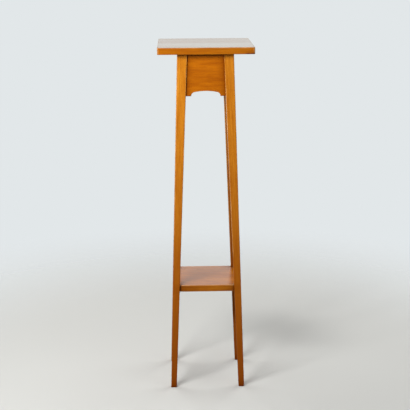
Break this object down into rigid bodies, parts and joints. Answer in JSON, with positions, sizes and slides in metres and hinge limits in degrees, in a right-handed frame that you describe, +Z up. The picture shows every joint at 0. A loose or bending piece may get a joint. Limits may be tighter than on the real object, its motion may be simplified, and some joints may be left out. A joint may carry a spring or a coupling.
{
  "type": "plant stand",
  "caption": "Tall square wooden plant stand: a board top on splayed, tapered legs, with arched aprons and a notched lower shelf.",
  "frame": {"origin": "on the floor, at the centre of the square that the four feet stand on", "axes": "+Z up, -Y towards the front that the picture shows, +X to the right of it"},
  "size_m": [0.27, 0.27, 1.016],
  "materials": {
    "top": "hardwood under worn semi-gloss amber lacquer",
    "leg": "straight-grained hardwood under semi-gloss amber lacquer",
    "apron": "hardwood, grain running across, under semi-gloss amber lacquer",
    "shelf": "hardwood under worn semi-gloss amber lacquer",
    "block": "bare sawn softwood",
    "dowel": "bare turned hardwood",
    "screw": "plain steel, slotted countersunk head"
  },
  "bodies": {
    "root": {"top_board": "top", "leg_front_left": "leg", "leg_front_right": "leg", "leg_back_left": "leg", "leg_back_right": "leg", "apron_front": "apron", "apron_back": "apron", "apron_left": "apron", "apron_right": "apron", "shelf": "shelf", "corner_block_front_left": "block", "corner_block_front_right": "block", "corner_block_back_left": "block", "corner_block_back_right": "block", "top_screws": "screw", "dowels_apron_front": "dowel", "dowels_apron_back": "dowel", "dowels_apron_left": "dowel", "dowels_apron_right": "dowel", "dowels_shelf": "dowel"}
  },
  "joints": []
}
